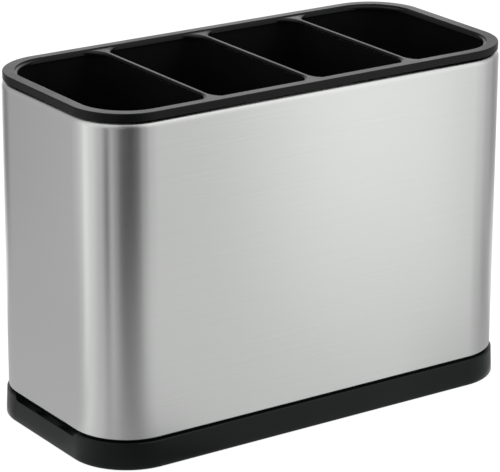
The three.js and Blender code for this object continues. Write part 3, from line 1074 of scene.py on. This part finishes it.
def blend_by_height(tree, z, low, high, below, above):
    """One colour below a height and another above a second height, mixed in between."""
    rise = tree.nodes.new("ShaderNodeMapRange")
    rise.inputs["From Min"].default_value = low
    rise.inputs["From Max"].default_value = high
    tree.links.new(z, rise.inputs["Value"])
    mix = tree.nodes.new("ShaderNodeMix")
    mix.data_type = "RGBA"
    tree.links.new(rise.outputs["Result"], mix.inputs[MIX_FACTOR])
    tree.links.new(below, mix.inputs[MIX_FIRST])
    tree.links.new(above, mix.inputs[MIX_SECOND])
    return mix.outputs[MIX_RESULT]


def cove_material():
    """Glow by direction round the object, painted light and shade for its reflections: near it, on the
    floor, on the wall and at its head.
    """
    material = bpy.data.materials.new("studio_cove")
    material.use_nodes = True
    tree = material.node_tree
    tree.nodes.clear()
    link = tree.links.new
    place = tree.nodes.new("ShaderNodeTexCoord")
    parts = tree.nodes.new("ShaderNodeSeparateXYZ")
    link(place.outputs["Object"], parts.inputs["Vector"])
    angle = tree.nodes.new("ShaderNodeMath")
    angle.operation = "ARCTAN2"
    link(parts.outputs["Y"], angle.inputs[0])
    link(parts.outputs["X"], angle.inputs[1])
    turns = tree.nodes.new("ShaderNodeMath")
    turns.operation = "DIVIDE"
    turns.inputs[1].default_value = 2 * math.pi
    link(angle.outputs["Value"], turns.inputs[0])
    share_of_turn = tree.nodes.new("ShaderNodeMath")
    share_of_turn.operation = "FRACT"
    link(turns.outputs["Value"], share_of_turn.inputs[0])
    turn = share_of_turn.outputs["Value"]
    z = parts.outputs["Z"]
    levels = level_ramp(tree, turn, COVE_FOOT_SHARES)
    for low, high, shares in (
        (COVE_FOOT_HEIGHT, COVE_FLOOR_HEIGHT, COVE_FLOOR_SHARES),
        (COVE_SWEEP, COVE_FULL_HEIGHT, COVE_WALL_SHARES),
        (COVE_HEAD_HEIGHT, COVE_HEAD_TOP, COVE_HEAD_SHARES),
    ):
        levels = blend_by_height(tree, z, low, high, levels, level_ramp(tree, turn, shares))
    glow = tree.nodes.new("ShaderNodeEmission")
    link(levels, glow.inputs["Color"])
    output = tree.nodes.new("ShaderNodeOutputMaterial")
    link(glow.outputs["Emission"], output.inputs["Surface"])
    return material


def cove_height(direction):
    """Height of the wall of cards in a level direction."""
    degrees = math.degrees(math.atan2(direction.y, direction.x)) % FULL_TURN
    for (start, dip), (end, next_dip) in zip(COVE_DIPS, COVE_DIPS[1:]):
        if degrees <= end:
            dip += (next_dip - dip) * (degrees - start) / (end - start)
            return COVE_HEIGHT + (COVE_LOW_HEIGHT - COVE_HEIGHT) * dip
    return COVE_HEIGHT


def make_cove():
    """Glowing cards round the object that only its gloss sees, their glow painted light and shade for
    its reflections.
    """
    corners = [Vector(point) for point in inset_outline(-SKIRT_OUTSET - COVE_GAP, COVE_LIFT)]
    near = []
    for point, after in zip(corners, corners[1:] + corners[:1]):
        pieces = max(1, math.ceil((after - point).length / COVE_STEP))
        near.extend(point.lerp(after, piece / pieces) for piece in range(pieces))
    steps = len(near)
    wall_foot, wall_top = [], []
    for point in near:
        direction = Vector((point.x, point.y, 0.0)).normalized()
        wall_foot.append(direction * COVE_RADIUS + Vector((0.0, 0.0, COVE_SWEEP)))
        wall_top.append(direction * COVE_RADIUS + Vector((0.0, 0.0, cove_height(direction))))
    vertices = near + wall_foot + wall_top
    faces = []
    for low in (0, steps):
        for step in range(steps):
            after = (step + 1) % steps
            faces.append((low + step, low + after, low + steps + after, low + steps + step))
    cove = new_object("studio_cove", vertices, faces)
    cove.data.materials.append(cove_material())
    for ray in ("camera", "diffuse", "transmission", "volume_scatter", "shadow"):
        setattr(cove, "visible_" + ray, False)


def make_softbox(name, azimuth, elevation, distance, size, power, is_seen_in_gloss):
    """Square soft lamp that shines at the middle of the object."""
    data = bpy.data.lights.new(name, "AREA")
    data.shape = "SQUARE"
    data.size = size
    data.energy = power
    lamp = bpy.data.objects.new(name, data)
    a, e = math.radians(azimuth), math.radians(elevation)
    way = Vector((math.cos(a) * math.cos(e), math.sin(a) * math.cos(e), math.sin(e)))
    lamp.location = way * distance + Vector((0.0, 0.0, SHELL_TOP / 2))
    lamp.rotation_mode = "QUATERNION"
    lamp.rotation_quaternion = way.to_track_quat("Z", "Y")
    lamp.visible_glossy = is_seen_in_gloss
    lamp.visible_camera = False
    bpy.context.scene.collection.objects.link(lamp)


make_camera()
make_world()
make_floor()
make_cove()
for lamp_values in LAMPS:
    make_softbox(*lamp_values)

steel = brushed_steel()
rim_black = moulded_black("rim_black")
liner_black = moulded_black("liner_black")
base_black = moulded_black("base_black")
rubber = foot_rubber()

dress(make_sleeve(), "sleeve_body", steel, "steel", "shell")
dress(make_rim(), "insert_body", rim_black, "rim_plastic", "rim_frame")
dress(make_liner(), "insert_body", liner_black, "liner_plastic", "liner")
dress(make_base(), "base_body", base_black, "base_plastic", "base")
for foot_node in FOOT_NAMES:
    dress(make_foot(foot_node), "base_body", rubber, "rubber", foot_node)

bpy.context.scene.view_settings.view_transform = "Standard"
